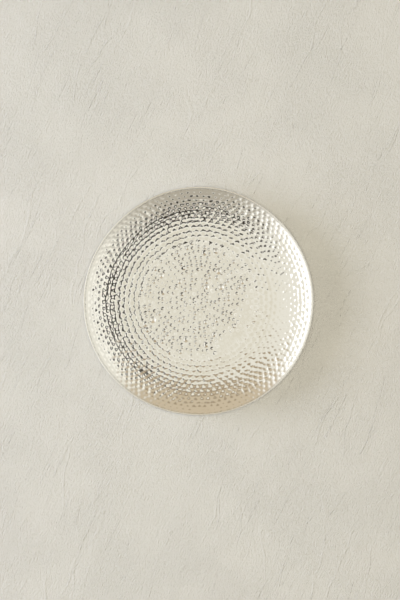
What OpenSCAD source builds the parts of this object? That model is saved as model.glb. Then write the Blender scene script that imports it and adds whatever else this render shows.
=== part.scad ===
// Hammered paten plate: a shallow round dish raised from one sheet of metal, with a round
// wire soldered along its edge and a strip foot ring soldered under its flat floor.
// +Z is up. The origin is on the dish's axis, in the plane that the foot ring stands on.

/* [Dish] */
// Diameter over the rim wire
dish_d = 180; // [146:1:230]
// Thickness of the raised sheet
sheet_t = 1.0; // [0.8:0.1:1.2]
// Radius of the flat floor, where the wall starts to curve up
floor_r = 40; // [39:1:50]
// Slope of the wall at its top edge, in degrees from level
rim_slope = 38; // [30:1:45]

/* [Rim wire] */
// Diameter of the wire along the edge
wire_d = 1.6; // [1.4:0.1:2]
// Depth of the flat filed on the wire, where it is bedded on the sheet's edge
wire_flat = 0.15; // [0.1:0.01:0.2]
// Direction of the butt joint that closes the wire, in degrees from +X
wire_joint_at = 45; // [0:5:355]

/* [Foot ring] */
// Outer diameter of the foot ring
foot_d = 75; // [60:1:75]
// Height of the foot ring
foot_h = 4; // [3:0.5:6]
// Thickness of the strip that the foot ring is bent from
foot_t = 1.2; // [1:0.1:2]
// Radius worked on the two lower edges of the strip
foot_edge_r = 0.25; // [0.1:0.05:0.4]
// Direction of the butt joint that closes the strip, in degrees from +X
foot_joint_at = 270; // [0:5:355]

/* [Solder] */
// Width of the solder in a butt joint
joint_gap = 0.25; // [0.15:0.05:0.4]
// Length of the solder fillet along the sheet's edge
rim_fillet = 0.45; // [0.3:0.05:0.5]
// Leg of the solder fillet in the corner between the foot ring and the floor
foot_fillet = 0.8; // [0.5:0.1:1]

/* [Hidden] */
$fn = 180;
wire_sides = 24;                         // flats around the wire's section
fillet_steps = 5;                        // flats across a solder fillet's hollow face
METAL = [0.88, 0.86, 0.79];
SOLDER = [0.80, 0.79, 0.74];

wire_r = wire_d / 2;
wire_seat = wire_r - wire_flat;          // wire's centre, measured from the sheet's cut edge
wire_ring_r = dish_d / 2 - wire_r;       // dish's axis to the wire's centre
floor_z = foot_h + sheet_t;              // upper face of the floor
foot_out_r = foot_d / 2;
foot_in_r = foot_out_r - foot_t;

// The wall is an arc, tangent to the floor, that is this far from its centre at mid-thickness.
wall_mid_r = (wire_ring_r - wire_seat * cos(rim_slope) - floor_r) / sin(rim_slope);
wall_in_r = wall_mid_r - sheet_t / 2;
wall_out_r = wall_mid_r + sheet_t / 2;
wall_centre = [floor_r, floor_z + wall_in_r];

// Middle of the sheet's cut edge.
edge_mid = wall_centre + wall_mid_r * [sin(rim_slope), -cos(rim_slope)];

// Places a profile at the sheet's cut edge, with x running on past the edge and y across the sheet.
module at_rim() {
    translate(edge_mid) rotate(rim_slope) children();
}

// The part of the plane between level and the rim's slope, seen from the wall's centre.
module wall_sector() {
    reach = 2 * wall_out_r;
    translate(wall_centre)
        polygon([[0, 0], [0, -reach], reach * [sin(rim_slope), -cos(rim_slope)]]);
}

module sheet_profile() {
    translate([0, foot_h]) square([floor_r, sheet_t]);
    intersection() {
        translate(wall_centre) difference() {
            circle(wall_out_r);
            circle(wall_in_r);
        }
        wall_sector();
    }
}

// Points on an arc of flat steps, from one angle to another.
function arc_points(centre, r, from, to, steps) = [
    for (i = [0 : steps], a = from + (to - from) * i / steps) centre + r * [cos(a), sin(a)]
];

module wire_profile() {
    at_rim() difference() {
        polygon(arc_points([wire_seat, 0], wire_r, 0, 360 - 360 / wire_sides, wire_sides - 1));
        translate([-wire_d, -wire_r]) square([wire_d, wire_d]);
    }
}

// Triangles over the two corners between the wire and the sheet, inside and outside the dish. The
// long side of each lies on the sheet at one end and on the wire at the other, half as far from
// the joint, and its third corner is hidden in the joint.
module rim_corner_triangles() {
    along_wire = rim_fillet / 2;
    wire_half_height = sqrt(wire_r * wire_r - pow(along_wire - wire_seat, 2));
    in_joint = sheet_t / 4;
    at_rim() for (side = [-1, 1])
        polygon([
            [-rim_fillet, side * sheet_t / 2],
            [0, side * in_joint],
            [along_wire, side * wire_half_height],
        ]);
}

module rim_fillet_profile() {
    difference() {
        rim_corner_triangles();
        sheet_profile();
        wire_profile();
    }
}

module foot_profile() {
    translate([foot_in_r, foot_edge_r]) {
        square([foot_t, foot_h - foot_edge_r]);
        translate([foot_edge_r, -foot_edge_r]) square([foot_t - 2 * foot_edge_r, foot_edge_r]);
        for (x = [foot_edge_r, foot_t - foot_edge_r]) translate([x, 0]) circle(foot_edge_r);
    }
}

// A concave fillet whose corner is at the origin, filling the quarter to the lower right.
module corner_fillet(leg) {
    polygon(concat([[0, 0]], arc_points([leg, -leg], leg, 90, 180, fillet_steps)));
}

module foot_fillet_profile() {
    translate([foot_out_r, foot_h]) corner_fillet(foot_fillet);
    translate([foot_in_r, foot_h]) mirror([1, 0]) corner_fillet(foot_fillet);
}

// Bends a profile into a ring that is left open by a joint's gap, centred on the direction given.
module open_ring(ring_r, direction) {
    gap_angle = joint_gap / ring_r * 180 / PI;
    rotate(direction + gap_angle / 2) rotate_extrude(angle = 360 - gap_angle) children();
}

// Fills that gap.
module joint_plug(ring_r, direction) {
    gap_angle = joint_gap / ring_r * 180 / PI;
    rotate(direction - gap_angle / 2) rotate_extrude(angle = gap_angle) children();
}

module hammered_dish() {
    color(METAL) rotate_extrude() sheet_profile();
}

module rim_wire() {
    color(METAL) open_ring(wire_ring_r, wire_joint_at) wire_profile();
}

module rim_wire_joint() {
    color(SOLDER) joint_plug(wire_ring_r, wire_joint_at) wire_profile();
}

module rim_solder() {
    color(SOLDER) rotate_extrude() rim_fillet_profile();
}

module foot_ring() {
    color(METAL) open_ring(foot_out_r, foot_joint_at) foot_profile();
}

module foot_ring_joint() {
    color(SOLDER) joint_plug(foot_out_r, foot_joint_at) foot_profile();
}

module foot_solder() {
    color(SOLDER) rotate_extrude() foot_fillet_profile();
}

hammered_dish();
rim_wire();
rim_wire_joint();
rim_solder();
foot_ring();
foot_ring_joint();
foot_solder();
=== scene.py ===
import math

import bpy
import numpy as np
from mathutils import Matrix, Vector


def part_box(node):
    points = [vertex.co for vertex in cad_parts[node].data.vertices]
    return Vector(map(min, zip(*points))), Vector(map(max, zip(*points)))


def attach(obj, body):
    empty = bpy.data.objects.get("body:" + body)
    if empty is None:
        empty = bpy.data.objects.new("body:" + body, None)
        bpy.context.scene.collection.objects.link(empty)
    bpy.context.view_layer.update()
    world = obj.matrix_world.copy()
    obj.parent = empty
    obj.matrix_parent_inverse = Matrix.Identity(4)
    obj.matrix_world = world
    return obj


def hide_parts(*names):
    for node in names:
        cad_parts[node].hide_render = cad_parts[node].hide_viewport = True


# A hammered paten plate: one sheet of polished metal planished in rings, with a wire along its
# edge and a strip foot ring underneath. Lengths are in millimetres until a mesh is made, angles in
# degrees where a name says so and in radians otherwise. Azimuths are measured from +X towards +Y.

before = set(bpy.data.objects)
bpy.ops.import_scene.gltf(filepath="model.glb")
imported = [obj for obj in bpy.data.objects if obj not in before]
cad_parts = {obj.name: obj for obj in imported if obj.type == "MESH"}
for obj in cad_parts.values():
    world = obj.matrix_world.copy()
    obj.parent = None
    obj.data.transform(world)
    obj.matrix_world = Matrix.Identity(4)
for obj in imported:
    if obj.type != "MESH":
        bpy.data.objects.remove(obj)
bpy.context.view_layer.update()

MM = 0.001
TURN = 2 * math.pi


def low(name):
    """Lowest corner of a CAD node's box, in millimetres."""
    return np.array(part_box(name)[0]) / MM


def high(name):
    """Highest corner of a CAD node's box, in millimetres."""
    return np.array(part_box(name)[1]) / MM


# ---------------------------------------------------------------------------------------------
# Dimensions
# ---------------------------------------------------------------------------------------------

SHEET_T = 1.0            # thickness of the dish's sheet
FLOOR_R = 40.0           # radius of the flat floor
RIM_SLOPE = math.radians(38)
WIRE_R = 0.8             # radius of the wire along the edge
WIRE_SEAT = 0.65         # from the sheet's cut edge to the wire's centre
WIRE_JOINT_AT = math.radians(45)
FOOT_T = 1.2             # thickness of the foot ring's strip
FOOT_EDGE_R = 0.25       # radius on the strip's lower edges
FOOT_JOINT_AT = math.radians(270)
JOINT_GAP = 0.25         # width of the solder in a butt joint
RIM_FILLET = 0.45        # length of the solder fillet along the sheet's edge
FOOT_FILLET = 0.8        # leg of the solder fillet under the floor

UNDERSIDE_Z = low("hammered_dish")[2]
FLOOR_Z = UNDERSIDE_Z + SHEET_T
WIRE_RING_R = high("rim_wire")[0] - WIRE_R
FOOT_OUT_R = high("foot_ring")[0]
FOOT_IN_R = FOOT_OUT_R - FOOT_T

# The wall is an arc, tangent to the floor; WALL_R is the radius of its inner face.
WALL_WIDTH = WIRE_RING_R - WIRE_SEAT * math.cos(RIM_SLOPE) - FLOOR_R
WALL_R = WALL_WIDTH / math.sin(RIM_SLOPE) - SHEET_T / 2
RIM_S = FLOOR_R + WALL_R * RIM_SLOPE     # length of the inner face from the axis to the cut edge

rng = np.random.default_rng(7)


def smooth(x, start, end):
    """0 before start, 1 after end, and a smooth step between them."""
    t = np.clip((x - start) / (end - start), 0, 1)
    return t * t * (3 - 2 * t)


def wall_slope(s):
    """Slope of the dish's inner face, in radians from level, at s along it from the axis."""
    return np.clip(s - FLOOR_R, 0, None) / WALL_R


def face_radius(s):
    """Distance of the inner face from the axis, at s along it."""
    return np.minimum(s, FLOOR_R) + WALL_R * np.sin(wall_slope(s))


# ---------------------------------------------------------------------------------------------
# Hand-made unevenness
# ---------------------------------------------------------------------------------------------

# Waves of the rim: how many go round, height in mm, azimuth of a crest in degrees.
RIM_WAVES = [(2, 0.22, 20), (3, 0.16, 75), (5, 0.10, 10)]
LIFT_WAVES = [(2, 0.10, 60), (3, 0.06, 130)]
RIM_SHRINK = 0.25            # how much smaller the rim is before the waves are added
# Places where the rim bulges out or, where negative, is flattened: azimuth, half-width, height.
RIM_SPOTS = [(135, 26, -0.95), (-38, 20, 0.42), (0, 25, 0.35), (55, 16, -0.35)]
EVEN_WALL = 6                # the wall is true for this far up from the floor


def waves(theta, table):
    """The sum at theta of the waves in a table."""
    return sum(size * np.cos(count * (theta - math.radians(crest))) for count, size, crest in table)


def rim_out(theta):
    """How far the rim lies outside its true circle."""
    out = waves(theta, RIM_WAVES) - RIM_SHRINK
    for azimuth, half_width, height in RIM_SPOTS:
        off = (np.degrees(theta) - azimuth + 180) % 360 - 180
        out = out + height * np.exp(-(off / half_width) ** 2)
    return out


def rim_lift(theta):
    """How far the rim lies above its true height."""
    return waves(theta, LIFT_WAVES)


def rim_share(s):
    """How much of the rim's unevenness the sheet has, at s along its inner face."""
    return smooth(s, FLOOR_R + EVEN_WALL, RIM_S)


def periodic_noise(theta, count, seed):
    """A smooth random curve from about -1 to 1 round the ring, with `count` knots."""
    knots = np.random.default_rng(seed).uniform(-1, 1, count)
    place = (theta / TURN * count) % count
    before = place.astype(int) % count
    blend = smooth(place - np.floor(place), 0, 1)
    return knots[before] * (1 - blend) + knots[(before + 1) % count] * blend


# ---------------------------------------------------------------------------------------------
# Hammer marks
# ---------------------------------------------------------------------------------------------

FIRST_ROW = 90.2             # s of the outermost row of blows
LAST_ROW = 0.8               # no row lies inside this
ROW_PITCH = 3.4              # between rows on the wall
LOW_ROW_PITCH = 4.2          # low on the wall
FLOOR_ROW_PITCH = 3.6        # and on the floor
ROW_JITTER = 0.04            # share by which the row pitch varies
PITCH = 4.84                 # between blows along a row on the wall
LOW_PITCH = 5.6              # low on the wall
FLOOR_PITCH = 4.2            # and on the floor
COUNT_STEP = 12              # rows next to each other share a count of blows, a multiple of this
INNER_COUNT_STEP = 6         # or of this in the small rows
SMALL_ROW_R = 18.0           # which have a radius up to this
STAGGER_JITTER = 0.1         # how much the brick pattern of neighbouring rows varies
ALONG_JITTER = 0.33          # how far blows land from their places along a row
ACROSS_JITTER = 0.20         # and across it
FLOOR_JITTER = 0.4           # and how much further they land in both directions on the floor

WALL_MARK_R = 6.5            # radius of the hollow that one blow leaves on the wall
FOOT_OF_WALL_R = 5.7         # on the first rows up the wall, which are struck hardest
FLOOR_MARK_R = 8.5           # on the floor
EDGE_MARK_R = 6.8            # and on the outermost rows
EDGE_WAVES = [(1, 0.16, 215), (2, 0.08, 10)]    # how the outermost rows get lighter and heavier
MARK_R_JITTER = 0.07         # share by which the radius varies from blow to blow
DEPTH_JITTER = 0.03          # how much deeper or shallower blows are
UNEVEN = 0.13                # how much the strength of the blows wanders along a row
UNEVEN_KNOTS = 17            # how many times it changes round a row
UNEVEN_SEED = 51
# How many times as much a hollow curves along its row as across it.
WALL_NARROW = 1.07           # on the wall
LOW_NARROW = 0.8             # low on the wall
FLOOR_NARROW = 1.0           # on the floor
EDGE_NARROW = 0.7            # and on the outermost rows
WALL_FLAT = 0.25             # share by which the middle of a wall mark is flatter than an arc
FLOOR_FLAT = 0.3             # and the middle of a floor mark
FLAT_R = 2.5                 # as far as this from its middle, a mark is as steep as the arc

# Values of s between which the blows change: from the floor's to the wall's, to those struck
# hardest, from low on the wall to the rest of it, and to the outermost rows'.
FLOOR_FROM, FLOOR_TO = 44.0, 50.0
FOOT_FROM, FOOT_TO = 42.0, 46.0
WALL_FROM, WALL_TO = 56.0, 71.0
EDGE_FROM, EDGE_TO = 81.0, 88.0

DENT_R = 1.18                # of the small deep dents that the floor is stippled with
DENT_R_JITTER = 0.2          # share by which that varies
BIG_SHARE, BIG_DENT = 0.07, 1.6    # share of the dents that are bigger, and how many times
DENT_SLOPE = 0.44            # of their sides
DENT_SLOPE_JITTER = 0.2      # share by which that varies
DENT_SLOPE_LIMITS = (0.3, 1.1)
CALM, CALM_AT = 0.65, -38    # the dents are shallower towards one side of the floor
CALM_FROM, CALM_TO = 22.0, 44.0

RIDGE_SHARPNESS = 22.0       # of the smooth minimum that joins the hollows, per mm
LEAST_HEIGHT, MOST_HEIGHT = -2, 6    # each hollow's height is kept within these
OUT_OF_REACH = 9             # a height that stands for no hollow at all
SMALLEST_TOTAL = 1e-30       # keeps the logarithm in the smooth minimum from failing
MARK_REACH = 8.6             # how far from its row a blow is felt
CURVED_ROW = 30              # rows inside this curve so much that it counts within one blow
TINY_ROW = 6                 # blows in rows inside this are felt on the far side of the axis too
MEAN_MARK = 0.20             # mean height of the hammered face above the bottoms of its hollows
SPREAD, SPREAD_AT = 1.0, 185 # how far rows move to leave the middle ones wider apart at an azimuth
DRIFT = 0.5                  # how far rows wander in and out
DRIFT_KNOTS = 9              # how many times they do so round the dish
DRIFT_SEED = 41
DRIFT_LENGTH = 9             # how slowly that changes from row to row
DRIFT_COMES, DRIFT_GOES = 12, 3    # over what width it comes in on the wall and goes at the edge
GHOST = 0.5                  # share of a mark that shows on the outer face
EDGE_FADE = 1.6              # width of the border along the cut edge where the marks fade out
EDGE_PLAIN = 0.3             # and of its plain part

# Three broad, deeper blows on the floor: x, y, radius of the hollow, depth.
BROAD_BLOWS = [(-18.9, 7.3, 14, 0.42), (-7.2, -4.5, 15, 0.42), (-3.3, -20.9, 14, 0.42)]
BROAD_BLOWS_PAST_FLOOR = 5   # how far past the floor's edge they can reach


def by_zone(wall, low_wall, floor, is_low, on_floor):
    """A value that changes from the wall's to the one low on the wall, and then to the floor's."""
    return wall + (low_wall - wall) * is_low + (floor - low_wall) * on_floor


def make_rows():
    """Rows of hammer blows from the rim to the middle. Each blow has its place, depth and radius."""
    rows = []
    s = FIRST_ROW
    while s > LAST_ROW:
        on_floor = 1 - smooth(s, FLOOR_FROM, FLOOR_TO)
        at_edge = smooth(s, EDGE_FROM, EDGE_TO)
        radius = face_radius(s)
        is_low = 1 - smooth(s, WALL_FROM, WALL_TO)
        pitch = by_zone(PITCH, LOW_PITCH, FLOOR_PITCH, is_low, on_floor)
        step = COUNT_STEP if radius > SMALL_ROW_R else INNER_COUNT_STEP
        count = max(3, step * round(TURN * radius / pitch / step))
        if rows and rows[-1]["count"] == count:
            shift = rng.uniform(-STAGGER_JITTER, STAGGER_JITTER)
            stagger = rows[-1]["stagger"] + 0.5 * (1 - on_floor) + shift
        else:
            stagger = rng.uniform(0, 1)
        along = rng.normal(0, ALONG_JITTER, count) + on_floor * rng.normal(0, FLOOR_JITTER, count)
        across = rng.normal(0, ACROSS_JITTER, count) + on_floor * rng.normal(0, FLOOR_JITTER, count)
        narrow = by_zone(WALL_NARROW, LOW_NARROW, FLOOR_NARROW, is_low, on_floor)
        narrow += (EDGE_NARROW - WALL_NARROW) * at_edge
        base = rng.normal(0, DEPTH_JITTER, count)
        dent_r = DENT_R * np.exp(rng.normal(0, DENT_R_JITTER, count))
        dent_r *= np.where(rng.random(count) < BIG_SHARE, BIG_DENT, 1)
        theta = (np.arange(count) + stagger) * TURN / count + along / max(radius, 1)
        to_calm_side = radius * np.cos(theta - math.radians(CALM_AT))
        calm = 1 - CALM * smooth(to_calm_side, CALM_FROM, CALM_TO)
        lighter = 1 + waves(theta, EDGE_WAVES)
        mark_r = FLOOR_MARK_R + (FOOT_OF_WALL_R - FLOOR_MARK_R) * smooth(s, FOOT_FROM, FOOT_TO)
        mark_r += (WALL_MARK_R - FOOT_OF_WALL_R) * smooth(s, WALL_FROM, WALL_TO)
        mark_r += (EDGE_MARK_R * lighter - WALL_MARK_R) * at_edge
        wander = UNEVEN * periodic_noise(theta, UNEVEN_KNOTS, UNEVEN_SEED + len(rows) // 2)
        mark_r = mark_r * np.exp(rng.normal(0, MARK_R_JITTER, count) + wander)
        steepness = np.clip(rng.normal(1, DENT_SLOPE_JITTER, count), *DENT_SLOPE_LIMITS)
        rows.append(dict(
            s=s,
            count=count,
            stagger=stagger,
            theta=theta,
            blow_s=s + across,
            base=base,
            narrow=narrow,
            flat=WALL_FLAT + (FLOOR_FLAT - WALL_FLAT) * on_floor,
            mark_r=mark_r,
            dent_r=dent_r,
            dent_slope=DENT_SLOPE * on_floor * steepness * calm,
        ))
        row_pitch = by_zone(ROW_PITCH, LOW_ROW_PITCH, FLOOR_ROW_PITCH, is_low, on_floor)
        s -= row_pitch * (1 + rng.normal(0, ROW_JITTER))
    return rows


ROWS = make_rows()


def row_drift(s, theta):
    """How far the rows of blows wander in and out round the dish, in mm."""
    on_wall = smooth(s, FLOOR_R, FLOOR_R + DRIFT_COMES)
    on_wall = on_wall * (1 - smooth(s, EDGE_FROM, EDGE_TO + DRIFT_GOES))
    up_wall = (s - FLOOR_R) / (RIM_S - FLOOR_R)
    spread = np.cos(theta - math.radians(SPREAD_AT)) * SPREAD * np.sin(up_wall * TURN)
    drift = DRIFT * periodic_noise(theta, DRIFT_KNOTS, DRIFT_SEED) * np.cos(s / DRIFT_LENGTH)
    return on_wall * (spread + drift)


def marks(s, theta):
    """Height of the hammered face, in mm: the smooth minimum of the hollows of all blows, and dents."""
    s_true = s
    s = s + row_drift(s, theta)
    radius = face_radius(s)
    total = np.full(s.shape, SMALLEST_TOTAL)
    dents = np.zeros(s.shape)
    for row in ROWS:
        near = np.abs(s - row["s"]) < MARK_REACH
        if not near.any():
            continue
        s_near, theta_near, radius_near = s[near], theta[near], radius[near]
        nearest = np.round((theta_near - row["theta"][0]) * row["count"] / TURN).astype(int)
        steps = (-1, 0, 1) if row["count"] <= 4 else (-2, -1, 0, 1, 2)
        for step in steps:
            blow = (nearest + step) % row["count"]
            turn = theta_near - row["theta"][blow]
            along = radius_near * np.sin(turn)
            ahead = s_near * np.cos(turn) if row["s"] < CURVED_ROW else s_near
            across = ahead - row["blow_s"][blow]
            inside_dent = np.clip(row["dent_r"][blow] - np.sqrt(across ** 2 + along ** 2), 0, None)
            dent = row["dent_slope"][blow] * inside_dent
            dents[near] += np.where(np.cos(turn) > 0, dent, 0)
            away2 = across ** 2 + row["narrow"] * along ** 2
            flatter = 1 - row["flat"] + row["flat"] * away2 / (2 * FLAT_R ** 2)
            height = away2 / (2 * row["mark_r"][blow]) * flatter + row["base"][blow]
            height = np.where((np.cos(turn) < 0) & (row["s"] > TINY_ROW), OUT_OF_REACH, height)
            height = np.clip(height, LEAST_HEIGHT, MOST_HEIGHT)
            total[near] += np.exp(-RIDGE_SHARPNESS * height)
    for x, y, mark_r, depth in BROAD_BLOWS:
        distance2 = (s * np.cos(theta) - x) ** 2 + (s * np.sin(theta) - y) ** 2
        height = np.clip(distance2 / (2 * mark_r) - depth, LEAST_HEIGHT, MOST_HEIGHT)
        total += np.where(s < FLOOR_R + BROAD_BLOWS_PAST_FLOOR, np.exp(-RIDGE_SHARPNESS * height), 0)
    height = -np.log(total) / RIDGE_SHARPNESS - MEAN_MARK - dents
    return height * (1 - smooth(s_true, RIM_S - EDGE_FADE, RIM_S - EDGE_PLAIN))


# ---------------------------------------------------------------------------------------------
# Meshes
# ---------------------------------------------------------------------------------------------

def make_object(name, vertices, faces, sharp_over=50):
    """A smooth-shaded mesh object from points in mm and a list of faces."""
    mesh = bpy.data.meshes.new(name)
    mesh.from_pydata((np.asarray(vertices) * MM).tolist(), [], faces)
    mesh.validate()
    mesh.shade_smooth()
    mesh.set_sharp_from_angle(angle=math.radians(sharp_over))
    made = bpy.data.objects.new(name, mesh)
    bpy.context.scene.collection.objects.link(made)
    return made


def round_point(r, z, theta):
    """Points at radius r, height z and angle theta."""
    return np.stack([r * np.cos(theta), r * np.sin(theta), np.broadcast_to(z, r.shape)], -1)


FLOOR_STEP = 0.39            # between the points of the dish's inner face, on the floor
WALL_STEP = 0.73             # and on the wall
OUTER_STEP = 1.8             # and of its outer face
WIDER_FROM, WIDER_TO = 6, 20 # how far up from the floor the points get further apart
RING_TURN = 0.618            # turns each ring of points by this share of a step from the last
FOOT_CLEAR, FOOT_MARKED = 1.6, 3.2    # from the foot ring to where the marks come in


def face_points(s, theta, raised):
    """Points of the dish: s along the inner face, at theta round the axis, raised off that face."""
    slope = wall_slope(s)
    r = np.minimum(s, FLOOR_R) + (WALL_R - raised) * np.sin(slope) + rim_out(theta) * rim_share(s)
    z = FLOOR_Z + WALL_R - (WALL_R - raised) * np.cos(slope) + rim_lift(theta) * rim_share(s)
    return round_point(r, z, theta)


def ring_stations(floor_step, wall_step):
    """(s, number of points, first angle) of each ring of points, from the middle to the cut edge."""
    rings = []
    s = 0
    while s < RIM_S:
        wider = smooth(s, FLOOR_R + WIDER_FROM, FLOOR_R + WIDER_TO)
        step = floor_step + (wall_step - floor_step) * wider
        s = s + step if RIM_S - s > 1.5 * step else RIM_S
        points = max(6, round(TURN * face_radius(s) / step))
        rings.append((s, points, (len(rings) * RING_TURN) % 1 * TURN / points))
    return rings


def bridge(start_a, count_a, start_b, count_b):
    """Triangles between two rings of points, which may have different counts."""
    a_next = np.arange(1, count_a + 1) / count_a
    b_next = np.arange(1, count_b + 1) / count_b
    b_at = np.searchsorted(b_next, a_next, side="left") % count_b
    a_at = np.searchsorted(a_next, b_next, side="right") % count_a
    i, k = np.arange(count_a), np.arange(count_b)
    from_a = np.stack([start_a + i, start_b + b_at, start_a + (i + 1) % count_a], -1)
    from_b = np.stack([start_a + a_at, start_b + k, start_b + (k + 1) % count_b], -1)
    return from_a.tolist() + from_b.tolist()


def make_dish():
    """The dish's inner and outer faces, each of rings of points, joined along the cut edge."""
    points, faces, rings = [], [], []
    for outer in (False, True):
        steps = (OUTER_STEP, OUTER_STEP) if outer else (FLOOR_STEP, WALL_STEP)
        stations = ring_stations(*steps)
        s = np.concatenate([[0.0]] + [np.full(n, at) for at, n, _ in stations])
        theta = np.concatenate([[0.0]] + [first + np.arange(n) * TURN / n for _, n, first in stations])
        raised = marks(s, theta)
        if outer:
            # The strip that the foot ring is soldered to is left flat.
            from_foot = np.abs(s - (FOOT_IN_R + FOOT_OUT_R) / 2)
            raised = raised * GHOST * smooth(from_foot, FOOT_CLEAR, FOOT_MARKED) - SHEET_T
        start = sum(len(p) for p in points)
        points.append(face_points(s, theta, raised))
        starts = start + 1 + np.cumsum([0] + [n for _, n, _ in stations[:-1]])
        counts = [n for _, n, _ in stations]
        face = [[start, starts[0] + i, starts[0] + (i + 1) % counts[0]] for i in range(counts[0])]
        for a in range(len(counts) - 1):
            face += bridge(starts[a], counts[a], starts[a + 1], counts[a + 1])
        faces += [f[::-1] for f in face] if outer else face
        rings.append((starts[-1], counts[-1]))
    (inner, inner_count), (outer, outer_count) = rings
    faces += bridge(inner, inner_count, outer, outer_count)
    return make_object("dish_of_hammered_sheet", np.concatenate(points), faces, sharp_over=65)


def sweep(name, section, start, span, count, sharp_over=50):
    """Bends a section round the axis. section(theta) gives arrays r and z, a row for each angle.
    A span of a whole turn closes the ring, and any other gets two end caps."""
    closed = abs(span - TURN) < 1e-9
    theta = start + span * np.arange(count) / (count if closed else count - 1)
    r, z = section(theta[:, None])
    sides = r.shape[1]
    points = round_point(r, z, np.broadcast_to(theta[:, None], r.shape)).reshape(-1, 3)
    faces = []
    for i in range(count if closed else count - 1):
        a, b = i * sides, (i + 1) % count * sides
        faces += [[a + k, b + k, b + (k + 1) % sides, a + (k + 1) % sides] for k in range(sides)]
    if not closed:
        faces.append(list(range(sides)))
        faces.append([(count - 1) * sides + k for k in reversed(range(sides))])
    return make_object(name, points, faces, sharp_over)


def at_rim(x, y, theta):
    """From the cut edge's own axes, x running on past the edge and y up across the sheet, to r, z."""
    middle = WALL_R + SHEET_T / 2
    c, s = math.cos(RIM_SLOPE), math.sin(RIM_SLOPE)
    r = FLOOR_R + middle * s + x * c - y * s + rim_out(theta)
    z = FLOOR_Z + WALL_R - middle * c + x * s + y * c + rim_lift(theta)
    return r, z


WIRE_SIDES = 20
WIRE_POINTS = 540            # round the dish
WIRE_UNEVEN = 0.025          # share by which the wire's radius and seat vary
JOINT_SWELL = 0.03           # how much the wire's joint stands proud of the wire
FILLET_STEPS = 6             # across a fillet's face
RIM_FILLET_HOLLOW = 0.10     # depth of its hollow
FOOT_POINTS = 360            # round the foot ring
SUNK = 0.2                   # how far the strip reaches up into the sheet
FILLET_SUNK = 0.15           # and its fillets, both up and into the strip
FOOT_CORNER_STEPS = 4        # round each lower edge of the strip
FOOT_BEND = 0.10             # how far the foot ring is out of round
FOOT_DIP = 0.03              # how uneven its lower edge is

# Number of knots and seed of each of the wire's and the foot ring's ways of being uneven.
WIRE_SWELLING, WIRE_SAGGING = (60, 3), (24, 4)
FOOT_BENDING, FOOT_DIPPING = (14, 21), (30, 22)
# Ripples of the fillets: size, number of knots and seed.
RIM_RIPPLES = [(0.22, 90, 11), (0.12, 23, 17)]
FOOT_RIPPLES = [(0.16, 60, 31), (0.10, 17, 37)]


def growth(theta, table, side):
    """How many times its normal size a fillet is round the dish. Its two sides differ."""
    return 1 + sum(size * periodic_noise(theta, knots, seed + side) for size, knots, seed in table)


def wire_section(swell=0.0):
    """The wire's section: round, with a flat where it is bedded on the sheet's edge."""
    angle = np.arange(WIRE_SIDES) * TURN / WIRE_SIDES

    def section(theta):
        radius = (WIRE_R + swell) * (1 + WIRE_UNEVEN * periodic_noise(theta, *WIRE_SWELLING))
        sag = WIRE_R * WIRE_UNEVEN * periodic_noise(theta, *WIRE_SAGGING)
        x = np.maximum(WIRE_SEAT + radius * np.cos(angle), 0) + 0 * theta
        y = radius * np.sin(angle) + sag
        return at_rim(x, y, theta)
    return section


def rim_fillet_section(side):
    """A hollow fillet of solder from the sheet's face to the wire, thicker in some places."""
    def section(theta):
        grown = growth(theta, RIM_RIPPLES, side)
        reach = RIM_FILLET * grown
        wire_x = reach / 2
        sheet = (-reach, SHEET_T / 2 + 0 * theta)
        wire = (wire_x, np.sqrt(WIRE_R ** 2 - (wire_x - WIRE_SEAT) ** 2))
        t = np.arange(FILLET_STEPS + 1) / FILLET_STEPS
        hollow = RIM_FILLET_HOLLOW * grown * np.sin(t * math.pi)
        x = sheet[0] + (wire[0] - sheet[0]) * t
        y = sheet[1] + (wire[1] - sheet[1]) * t - hollow
        x = np.concatenate([x, 0 * theta], -1)
        y = np.concatenate([y, SHEET_T / 4 + 0 * theta], -1)
        order = slice(None) if side < 0 else slice(None, None, -1)
        return at_rim(x[:, order], side * y[:, order], theta)
    return section


def foot_bend(theta):
    """How far the foot ring lies outside its true circle."""
    return FOOT_BEND * periodic_noise(theta, *FOOT_BENDING) - FOOT_BEND / 2


def foot_section(theta):
    """The strip's section, with worked lower edges. Its top is sunk into the dish's underside."""
    corner = np.arange(FOOT_CORNER_STEPS + 1) / FOOT_CORNER_STEPS * math.pi / 2
    inner_x = FOOT_EDGE_R * (1 - np.cos(corner))
    z_low = FOOT_EDGE_R * (1 - np.sin(corner))
    r = np.concatenate([[0], inner_x, FOOT_T - inner_x[::-1], [FOOT_T]])
    z = np.concatenate([[UNDERSIDE_Z + SUNK], z_low, z_low[::-1], [UNDERSIDE_Z + SUNK]])
    dip = FOOT_DIP * (1 + periodic_noise(theta, *FOOT_DIPPING)) * (z < 1)
    return FOOT_IN_R + r + foot_bend(theta), z + dip + 0 * theta


def foot_fillet_section(side):
    """A hollow fillet of solder in the corner between the foot ring and the dish's underside."""
    def section(theta):
        leg = FOOT_FILLET * growth(theta, FOOT_RIPPLES, side)
        wall = (FOOT_OUT_R if side > 0 else FOOT_IN_R) + foot_bend(theta)
        turn = np.arange(FILLET_STEPS + 1) / FILLET_STEPS * math.pi / 2
        x = leg * (1 - np.sin(turn))
        z = UNDERSIDE_Z - leg * (1 - np.cos(turn))
        in_strip = -FILLET_SUNK + 0 * theta
        in_sheet = UNDERSIDE_Z + FILLET_SUNK + 0 * theta
        x = np.concatenate([x, in_strip, in_strip, leg], -1)
        z = np.concatenate([z, z[:, -1:], in_sheet, in_sheet], -1)
        order = slice(None, None, -1) if side > 0 else slice(None)
        return (wall + side * x)[:, order], z[:, order]
    return section


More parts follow.
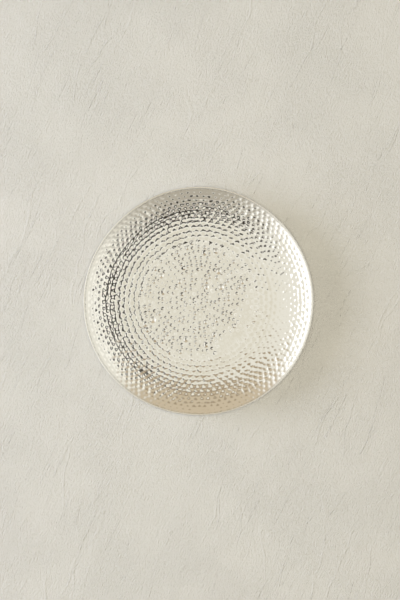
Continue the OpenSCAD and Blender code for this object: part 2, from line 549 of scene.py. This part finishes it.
def join(name, parts):
    """Joins objects into one with a new name."""
    points, faces = [], []
    for part in parts:
        start = len(points)
        points += [np.array(v.co) / MM for v in part.data.vertices]
        faces += [[start + i for i in p.vertices] for p in part.data.polygons]
        bpy.data.objects.remove(part)
    return make_object(name, points, faces)


def ring_and_joint(names, section, plug_section, ring_r, joint_at, count):
    """An open ring, and the plug of solder that closes it."""
    gap = JOINT_GAP / ring_r
    ring = sweep(names[0], section, joint_at + gap / 2, TURN - gap, count)
    plug = sweep(names[1], plug_section, joint_at - gap / 2, gap, 3)
    return ring, plug


# ---------------------------------------------------------------------------------------------
# Node trees
# ---------------------------------------------------------------------------------------------

def node(tree, kind, inputs=None, **settings):
    """Adds a shader node. inputs maps a socket's name or number to a value or another socket."""
    made = tree.nodes.new("ShaderNode" + kind)
    for key, value in settings.items():
        setattr(made, key, value)
    for key, value in (inputs or {}).items():
        if isinstance(value, bpy.types.NodeSocket):
            tree.links.new(value, made.inputs[key])
        else:
            made.inputs[key].default_value = value
    return made


def maths(tree, operation, a, b=0.0):
    """One step of arithmetic on values or sockets."""
    return node(tree, "Math", {0: a, 1: b}, operation=operation).outputs[0]


def ramp(tree, value, start, end, low_value=0.0, high_value=1.0):
    """A smooth step from low_value at start to high_value at end."""
    inputs = {"Value": value, 1: start, 2: end, 3: low_value, 4: high_value}
    return node(tree, "MapRange", inputs, interpolation_type="SMOOTHSTEP").outputs[0]


def mix(tree, factor, a, b):
    """A mix of two colours."""
    made = node(tree, "Mix", {0: factor}, data_type="RGBA")
    for socket, value in ((6, a), (7, b)):
        if isinstance(value, bpy.types.NodeSocket):
            tree.links.new(value, made.inputs[socket])
        else:
            made.inputs[socket].default_value = (*value, 1)
    return made.outputs[2]


def distance(tree, x, y):
    """Length of the vector (x, y)."""
    squares = maths(tree, "ADD", maths(tree, "MULTIPLY", x, x), maths(tree, "MULTIPLY", y, y))
    return maths(tree, "SQRT", squares)


def noise(tree, vector, scale, detail=2.0, rough=0.5, **more):
    """Smooth random values from 0 to 1 over a place."""
    inputs = {"Vector": vector, "Scale": scale, "Detail": detail, "Roughness": rough, **more}
    dimensions = "4D" if "W" in more else "3D"
    return node(tree, "TexNoise", inputs, noise_dimensions=dimensions).outputs[0]


def new_material(name):
    """A new material, its node tree and its shader."""
    material = bpy.data.materials.new(name)
    material.use_nodes = True
    tree = material.node_tree
    return material, tree, tree.nodes["Principled BSDF"]


def bump(tree, height, depth, strength=1.0, normal=None):
    """A normal for relief of this depth, in metres, on top of another relief if one is given."""
    inputs = {"Height": height, "Distance": depth, "Strength": strength}
    if normal is not None:
        inputs["Normal"] = normal
    return node(tree, "Bump", inputs).outputs[0]


# ---------------------------------------------------------------------------------------------
# Materials
# ---------------------------------------------------------------------------------------------

SILVER = (0.93, 0.925, 0.915)
TARNISH = (0.80, 0.745, 0.64)
SATIN_SILVER = (0.86, 0.845, 0.80)
SCUFFED = (0.93, 0.90, 0.82)
SOLDER_GREY = (0.72, 0.71, 0.68)
SOLDER_DARK = (0.50, 0.48, 0.44)
PLASTER_DARK = (0.675, 0.67, 0.655)
PLASTER_LIGHT = (0.69, 0.682, 0.667)


def object_place(tree):
    """Where on the object a point lies, in metres in the object's own frame."""
    return node(tree, "TexCoord").outputs["Object"]


def stretched(tree, place, turn_deg, scale):
    """A place seen in turned axes, with each axis scaled up by its part of `scale`."""
    inputs = {"Vector": place, "Rotation": (0, 0, math.radians(turn_deg)), "Scale": scale}
    return node(tree, "Mapping", inputs, vector_type="TEXTURE").outputs[0]


HAIRLINE_LENGTH = 45         # how many times longer than wide


def hairlines(tree, place, turn_deg, scale, threshold):
    """Fine straight lines in one direction, as a mask."""
    along = stretched(tree, place, turn_deg, (HAIRLINE_LENGTH / scale, 1 / scale, 1 / scale))
    return ramp(tree, noise(tree, along, 1.0, 1.0), threshold, threshold + 0.1)


def from_axis(tree, place):
    """Distance from the dish's axis."""
    parts = node(tree, "SeparateXYZ", {0: place})
    return distance(tree, parts.outputs[0], parts.outputs[1])


def round_lines(tree, place, scale):
    """Lines that run round the axis, as fine noise over radius and height only."""
    parts = node(tree, "SeparateXYZ", {0: place})
    x, y, z = parts.outputs[0], parts.outputs[1], parts.outputs[2]
    radius = from_axis(tree, place)
    slow = node(tree, "CombineXYZ", {0: maths(tree, "MULTIPLY", x, 0.02),
                                     1: maths(tree, "MULTIPLY", y, 0.02), 2: z}).outputs[0]
    return noise(tree, slow, scale, 3.0, 0.6, W=maths(tree, "MULTIPLY", radius, scale))


def hammered_metal():
    """Polished silver plate: bright, with faint tarnish in patches and fine polishing scratches."""
    material, tree, shader = new_material("hammered_polished_silver")
    place = object_place(tree)
    patches = ramp(tree, noise(tree, place, 55, 4.0, 0.6), 0.45, 0.75)
    fine = noise(tree, place, 900, 2.0)
    tarnish = maths(tree, "MULTIPLY", patches, 0.16)
    shader.inputs["Metallic"].default_value = 1.0
    tree.links.new(mix(tree, tarnish, SILVER, TARNISH), shader.inputs["Base Color"])
    scratches = maths(tree, "MAXIMUM", hairlines(tree, place, 25, 5200, 0.68),
                      hairlines(tree, place, 112, 6100, 0.70))
    rough = ramp(tree, fine, 0.35, 0.75, 0.03, 0.06)
    rough = maths(tree, "ADD", rough, maths(tree, "MULTIPLY", patches, 0.03))
    rough = maths(tree, "ADD", rough, maths(tree, "MULTIPLY", scratches, 0.05))
    tree.links.new(rough, shader.inputs["Roughness"])
    worked = bump(tree, noise(tree, place, 420, 2.0), 0.000012)
    tree.links.new(bump(tree, scratches, 0.000003, 1.0, worked), shader.inputs["Normal"])
    return material


def drawn_metal():
    """Drawn silver wire: fine lines along its length, and dulled a little where it is held."""
    material, tree, shader = new_material("drawn_silver_wire")
    place = object_place(tree)
    lines = round_lines(tree, place, 2600)
    held = ramp(tree, noise(tree, place, 34, 3.0), 0.45, 0.7)
    shader.inputs["Metallic"].default_value = 1.0
    base = mix(tree, maths(tree, "MULTIPLY", held, 0.22), SILVER, TARNISH)
    tree.links.new(base, shader.inputs["Base Color"])
    rough = ramp(tree, lines, 0.35, 0.7, 0.07, 0.16)
    rough = maths(tree, "ADD", rough, maths(tree, "MULTIPLY", held, 0.04))
    tree.links.new(rough, shader.inputs["Roughness"])
    tree.links.new(bump(tree, lines, 0.000010), shader.inputs["Normal"])
    return material


def strip_metal():
    """Satin foot ring: brushed round, scuffed bright on the edge that it stands on."""
    material, tree, shader = new_material("satin_silver_strip")
    place = object_place(tree)
    height = node(tree, "SeparateXYZ", {0: place}).outputs[2]
    lines = round_lines(tree, place, 1900)
    scuffs = noise(tree, place, 1500, 4.0, 0.7)
    standing = ramp(tree, height, 0.0002, 0.0011, 1.0, 0.0)
    worn = maths(tree, "MULTIPLY", standing, ramp(tree, scuffs, 0.42, 0.6))
    dull = ramp(tree, noise(tree, place, 70, 4.0, 0.6), 0.35, 0.7)
    shader.inputs["Metallic"].default_value = 1.0
    base = mix(tree, maths(tree, "MULTIPLY", dull, 0.45), SATIN_SILVER, TARNISH)
    tree.links.new(mix(tree, worn, base, SCUFFED), shader.inputs["Base Color"])
    rough = ramp(tree, lines, 0.35, 0.7, 0.16, 0.30)
    rough = maths(tree, "ADD", rough, maths(tree, "MULTIPLY", worn, 0.12))
    tree.links.new(rough, shader.inputs["Roughness"])
    brushed = bump(tree, lines, 0.000018)
    tree.links.new(bump(tree, scuffs, 0.00003, 0.8, brushed), shader.inputs["Normal"])
    return material


def solder_metal():
    """Silver solder: duller and greyer than the sheet, a little pitted."""
    material, tree, shader = new_material("silver_solder")
    place = object_place(tree)
    clouds = ramp(tree, noise(tree, place, 260, 4.0, 0.6), 0.35, 0.7)
    pits = ramp(tree, noise(tree, place, 1700, 2.0), 0.62, 0.74)
    shader.inputs["Metallic"].default_value = 1.0
    base = mix(tree, maths(tree, "MULTIPLY", clouds, 0.5), SOLDER_GREY, SOLDER_DARK)
    base = mix(tree, maths(tree, "MULTIPLY", pits, 0.5), base, SOLDER_DARK)
    tree.links.new(base, shader.inputs["Base Color"])
    tree.links.new(ramp(tree, clouds, 0.0, 1.0, 0.20, 0.38), shader.inputs["Roughness"])
    flow = bump(tree, noise(tree, place, 700, 3.0), 0.00004)
    tree.links.new(bump(tree, pits, 0.00004, -1.0, flow), shader.inputs["Normal"])
    return material


TROWEL_AT = 62               # direction of the trowel's streaks, in degrees
RIDGE_AT = 68                # and of the ridges that it left
RIDGE_CELL = (0.20, 0.028, 1.0)    # length, width and height of the cells between ridges, in metres
RIDGE_WIDTH = 0.022          # share of a cell
RIDGE_WANDER = (0.035, 0.035, 0.0)    # how far ridges stray, in metres
FLOOR_FADE = (450, 1300)     # distances from the axis, in mm, between which the floor fades out
FOOT_MARGIN = 0.8            # how far inside the foot ring the floor becomes clear, in mm


def trowel_ridges(tree, place):
    """Long thin ridges that a trowel left, wandering and dying out, as a mask."""
    wander = node(tree, "TexNoise", {"Vector": place, "Scale": 14.0, "Detail": 2.0}).outputs["Color"]
    wander = node(tree, "VectorMath", {0: wander, 1: RIDGE_WANDER}, operation="MULTIPLY").outputs[0]
    strayed = node(tree, "VectorMath", {0: place, 1: wander}, operation="ADD").outputs[0]
    inputs = {"Vector": stretched(tree, strayed, RIDGE_AT, RIDGE_CELL), "Scale": 1.0}
    to_edge = node(tree, "TexVoronoi", inputs, feature="DISTANCE_TO_EDGE").outputs["Distance"]
    ridges = ramp(tree, to_edge, 0.0, RIDGE_WIDTH, 1.0, 0.0)
    return maths(tree, "MULTIPLY", ridges, ramp(tree, noise(tree, place, 12, 2.0), 0.42, 0.60))


def plaster():
    """Pale plaster with a fine trowelled relief, which fades out far from the dish. From below it is
    clear, and so is the part inside the foot ring, so that the underside can be seen."""
    material, tree, shader = new_material("pale_plaster")
    place = object_place(tree)
    swept = stretched(tree, place, TROWEL_AT, (2.0, 1.0, 1.0))
    patches = ramp(tree, noise(tree, place, 16, 3.0), 0.35, 0.62, 0.7, 1.0)
    grain = maths(tree, "MULTIPLY", noise(tree, swept, 900, 4.0, 0.6), patches)
    trowel = noise(tree, swept, 110, 5.0, 0.6)
    tone = ramp(tree, noise(tree, place, 9, 3.0), 0.3, 0.7)
    tree.links.new(mix(tree, tone, PLASTER_DARK, PLASTER_LIGHT), shader.inputs["Base Color"])
    shader.inputs["Roughness"].default_value = 0.92
    shader.inputs["Specular IOR Level"].default_value = 0.05
    relief = bump(tree, trowel, 0.0016, 0.5)
    relief = bump(tree, trowel_ridges(tree, place), 0.0003, 0.8, relief)
    streaks = maths(tree, "ADD", hairlines(tree, place, 63, 620, 0.66),
                    hairlines(tree, place, 74, 540, 0.68))
    relief = bump(tree, streaks, 0.00025, 0.8, relief)
    tree.links.new(bump(tree, grain, 0.0014, 1.0, relief), shader.inputs["Normal"])
    radius = from_axis(tree, place)
    in_foot = ramp(tree, radius, (FOOT_IN_R - FOOT_MARGIN) * MM, FOOT_IN_R * MM, 1.0, 0.0)
    far_away = ramp(tree, radius, FLOOR_FADE[0] * MM, FLOOR_FADE[1] * MM)
    gone = maths(tree, "MAXIMUM", in_foot, far_away)
    gone = maths(tree, "MAXIMUM", gone, node(tree, "NewGeometry").outputs["Backfacing"])
    clear = node(tree, "BsdfTransparent").outputs[0]
    shown = node(tree, "MixShader", {0: gone, 1: shader.outputs[0], 2: clear}).outputs[0]
    tree.links.new(shown, tree.nodes["Material Output"].inputs["Surface"])
    return material


# ---------------------------------------------------------------------------------------------
# Studio
# ---------------------------------------------------------------------------------------------

OVERHEAD = (0.765, 0.725, 0.60)       # what is straight above
AROUND = (0.85, 0.82, 0.715)          # the pale room further down
BELOW = (0.66, 0.64, 0.585)           # what is under the level of the floor
BACKDROP = (0.74, 0.715, 0.65)        # what the camera sees behind the floor

# Patches of the room that the dish mirrors, each in front of the ones before it. Angles are in
# degrees, polar angles from straight up: azimuth of the middle, half-width and where it has faded
# out, polar angles between which it comes in and goes out again, and colour.
PATCHES = [
    dict(azimuth=-36, half=(84, 104), come=(28, 35), go=(58, 66), colour=(1.0, 0.97, 0.87)),
    dict(azimuth=-88, half=(16, 70), come=(50, 58), go=None, colour=(0.47, 0.43, 0.348)),
    dict(azimuth=94, half=(20, 52), come=(35.8, 39), go=None, colour=(0.40, 0.32, 0.215)),
    dict(azimuth=94, half=(20, 52), come=(49, 57), go=None, colour=(0.62, 0.52, 0.37)),
    dict(azimuth=184, half=(14, 66), come=(57.5, 66), go=None, colour=(1.45, 1.44, 1.40)),
    dict(azimuth=-36, half=(84, 104), come=(35.7, 38.5), go=(47, 49.5), colour=(0.05, 0.04, 0.03)),
    dict(azimuth=-88, half=(20, 50), come=(35.7, 38.5), go=(49.5, 53), colour=(0.05, 0.04, 0.03)),
]
OVERHEAD_ENDS = (8, 34)      # polar angles between which what is overhead gives way to the room
ROOM_ENDS = (92, 112)        # and the room to what is below
ROOM_LIGHT = 0.40            # share of the mirrored room's brightness that lights the floor
NEARLY_NONE = 1e-4           # keeps a direction straight up from dividing by zero


def make_world():
    """The room that the dish mirrors, as a colour for each direction."""
    world = bpy.data.worlds.new("studio")
    bpy.context.scene.world = world
    world.use_nodes = True
    tree = world.node_tree
    background = tree.nodes["Background"]
    parts = node(tree, "SeparateXYZ", {0: node(tree, "TexCoord").outputs["Generated"]})
    x, y, z = parts.outputs[0], parts.outputs[1], parts.outputs[2]
    degree = 180 / math.pi
    polar = maths(tree, "MULTIPLY", maths(tree, "ARCCOSINE", z), degree)
    level = maths(tree, "MAXIMUM", distance(tree, x, y), NEARLY_NONE)
    colour = mix(tree, ramp(tree, polar, *OVERHEAD_ENDS), OVERHEAD, AROUND)
    for patch in PATCHES:
        azimuth = math.radians(patch["azimuth"])
        along = maths(tree, "ADD", maths(tree, "MULTIPLY", x, math.cos(azimuth)),
                      maths(tree, "MULTIPLY", y, math.sin(azimuth)))
        away = maths(tree, "ARCCOSINE", maths(tree, "DIVIDE", along, level))
        away = maths(tree, "MULTIPLY", away, degree)
        share = maths(tree, "MULTIPLY", ramp(tree, away, *patch["half"], 1.0, 0.0),
                      ramp(tree, polar, *patch["come"]))
        if patch["go"]:
            share = maths(tree, "MULTIPLY", share, ramp(tree, polar, *patch["go"], 1.0, 0.0))
        colour = mix(tree, share, colour, patch["colour"])
    colour = mix(tree, ramp(tree, polar, *ROOM_ENDS), colour, BELOW)
    rays = node(tree, "LightPath").outputs
    dimmed = maths(tree, "MULTIPLY", rays["Is Diffuse Ray"], 1 - ROOM_LIGHT)
    colour = mix(tree, dimmed, colour, (0, 0, 0))
    tree.links.new(mix(tree, rays["Is Camera Ray"], colour, BACKDROP), background.inputs["Color"])


# The lights: direction in degrees, distance and diameter in mm, and power in watts.
KEY_AZIMUTH, KEY_ELEVATION = 176, 24
KEY_DISTANCE, KEY_SIZE = 1500, 1200
KEY_POWER = 14.9
KEY_COLOUR = (0.755, 0.827, 1.0)
FILL_HEIGHT, FILL_SIZE = 1800, 450
FILL_POWER = 19.6
FILL_COLOUR = (1.0, 0.93, 0.75)


def soft_light(name, azimuth_deg, elevation_deg, away, size, power, colour):
    """A round soft light that faces the dish. The metal doesn't mirror it: it mirrors the room."""
    light = bpy.data.lights.new(name, "AREA")
    light.shape = "DISK"
    light.size = size * MM
    light.energy = power
    light.color = colour
    made = bpy.data.objects.new(name, light)
    bpy.context.scene.collection.objects.link(made)
    azimuth, elevation = math.radians(azimuth_deg), math.radians(elevation_deg)
    level = away * math.cos(elevation)
    place = (level * math.cos(azimuth), level * math.sin(azimuth), away * math.sin(elevation))
    made.location = [part * MM for part in place]
    made.rotation_euler = (math.pi / 2 - elevation, 0, azimuth + math.pi / 2)
    made.visible_glossy = False
    made.visible_camera = False


def make_lights():
    """A big soft key from the left that gives the dish its shadow, and a smaller fill overhead."""
    soft_light("key", KEY_AZIMUTH, KEY_ELEVATION, KEY_DISTANCE, KEY_SIZE, KEY_POWER, KEY_COLOUR)
    soft_light("fill", 0, 90, FILL_HEIGHT, FILL_SIZE, FILL_POWER, FILL_COLOUR)


FLOOR_SIZE = 6000            # mm, along each side


def make_floor():
    """The plaster surface that the foot ring stands on."""
    half = FLOOR_SIZE / 2
    corners = [(-half, -half, 0), (half, -half, 0), (half, half, 0), (-half, half, 0)]
    made = make_object("floor", corners, [[0, 1, 2, 3]])
    made.data.materials.append(plaster())


LENS = 85                    # mm
SENSOR = 36                  # mm, on the picture's long side
VIEW_HEIGHT = 469            # what the picture's height covers, at the level of the rim
VIEW_MIDDLE = (1.4, 1.0)     # the camera's place beside the dish's axis


def make_camera():
    """A camera straight above the dish."""
    camera = bpy.data.cameras.new("camera")
    camera.lens = LENS
    camera.sensor_width = SENSOR
    camera.clip_start = 0.01
    made = bpy.data.objects.new("camera", camera)
    bpy.context.scene.collection.objects.link(made)
    above = high("rim_wire")[2] + VIEW_HEIGHT * LENS / SENSOR
    made.location = [VIEW_MIDDLE[0] * MM, VIEW_MIDDLE[1] * MM, above * MM]
    bpy.context.scene.camera = made


# ---------------------------------------------------------------------------------------------
# The object
# ---------------------------------------------------------------------------------------------

def dress(piece, node_name, material):
    """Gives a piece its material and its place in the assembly."""
    piece.data.materials.clear()
    piece.data.materials.append(material)
    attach(piece, "root")
    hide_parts(node_name)


def make_pieces():
    """Every piece of the object, in place of its CAD node."""
    hammered, drawn, strip, solder = hammered_metal(), drawn_metal(), strip_metal(), solder_metal()
    dress(make_dish(), "hammered_dish", hammered)

    wire, wire_joint = ring_and_joint(("rim_bead_wire", "rim_bead_joint"),
                                      wire_section(), wire_section(JOINT_SWELL),
                                      WIRE_RING_R, WIRE_JOINT_AT, WIRE_POINTS)
    dress(wire, "rim_wire", drawn)
    dress(wire_joint, "rim_wire_joint", solder)
    fillets = [sweep("fillet", rim_fillet_section(side), 0, TURN, WIRE_POINTS) for side in (-1, 1)]
    dress(join("rim_bead_solder", fillets), "rim_solder", solder)

    foot, foot_joint = ring_and_joint(("foot_strip", "foot_strip_joint"), foot_section, foot_section,
                                      FOOT_OUT_R, FOOT_JOINT_AT, FOOT_POINTS)
    dress(foot, "foot_ring", strip)
    dress(foot_joint, "foot_ring_joint", solder)
    fillets = [sweep("fillet", foot_fillet_section(side), 0, TURN, FOOT_POINTS) for side in (-1, 1)]
    dress(join("foot_strip_solder", fillets), "foot_solder", solder)


bpy.context.scene.view_settings.view_transform = "Standard"
make_camera()
make_world()
make_lights()
make_floor()
make_pieces()
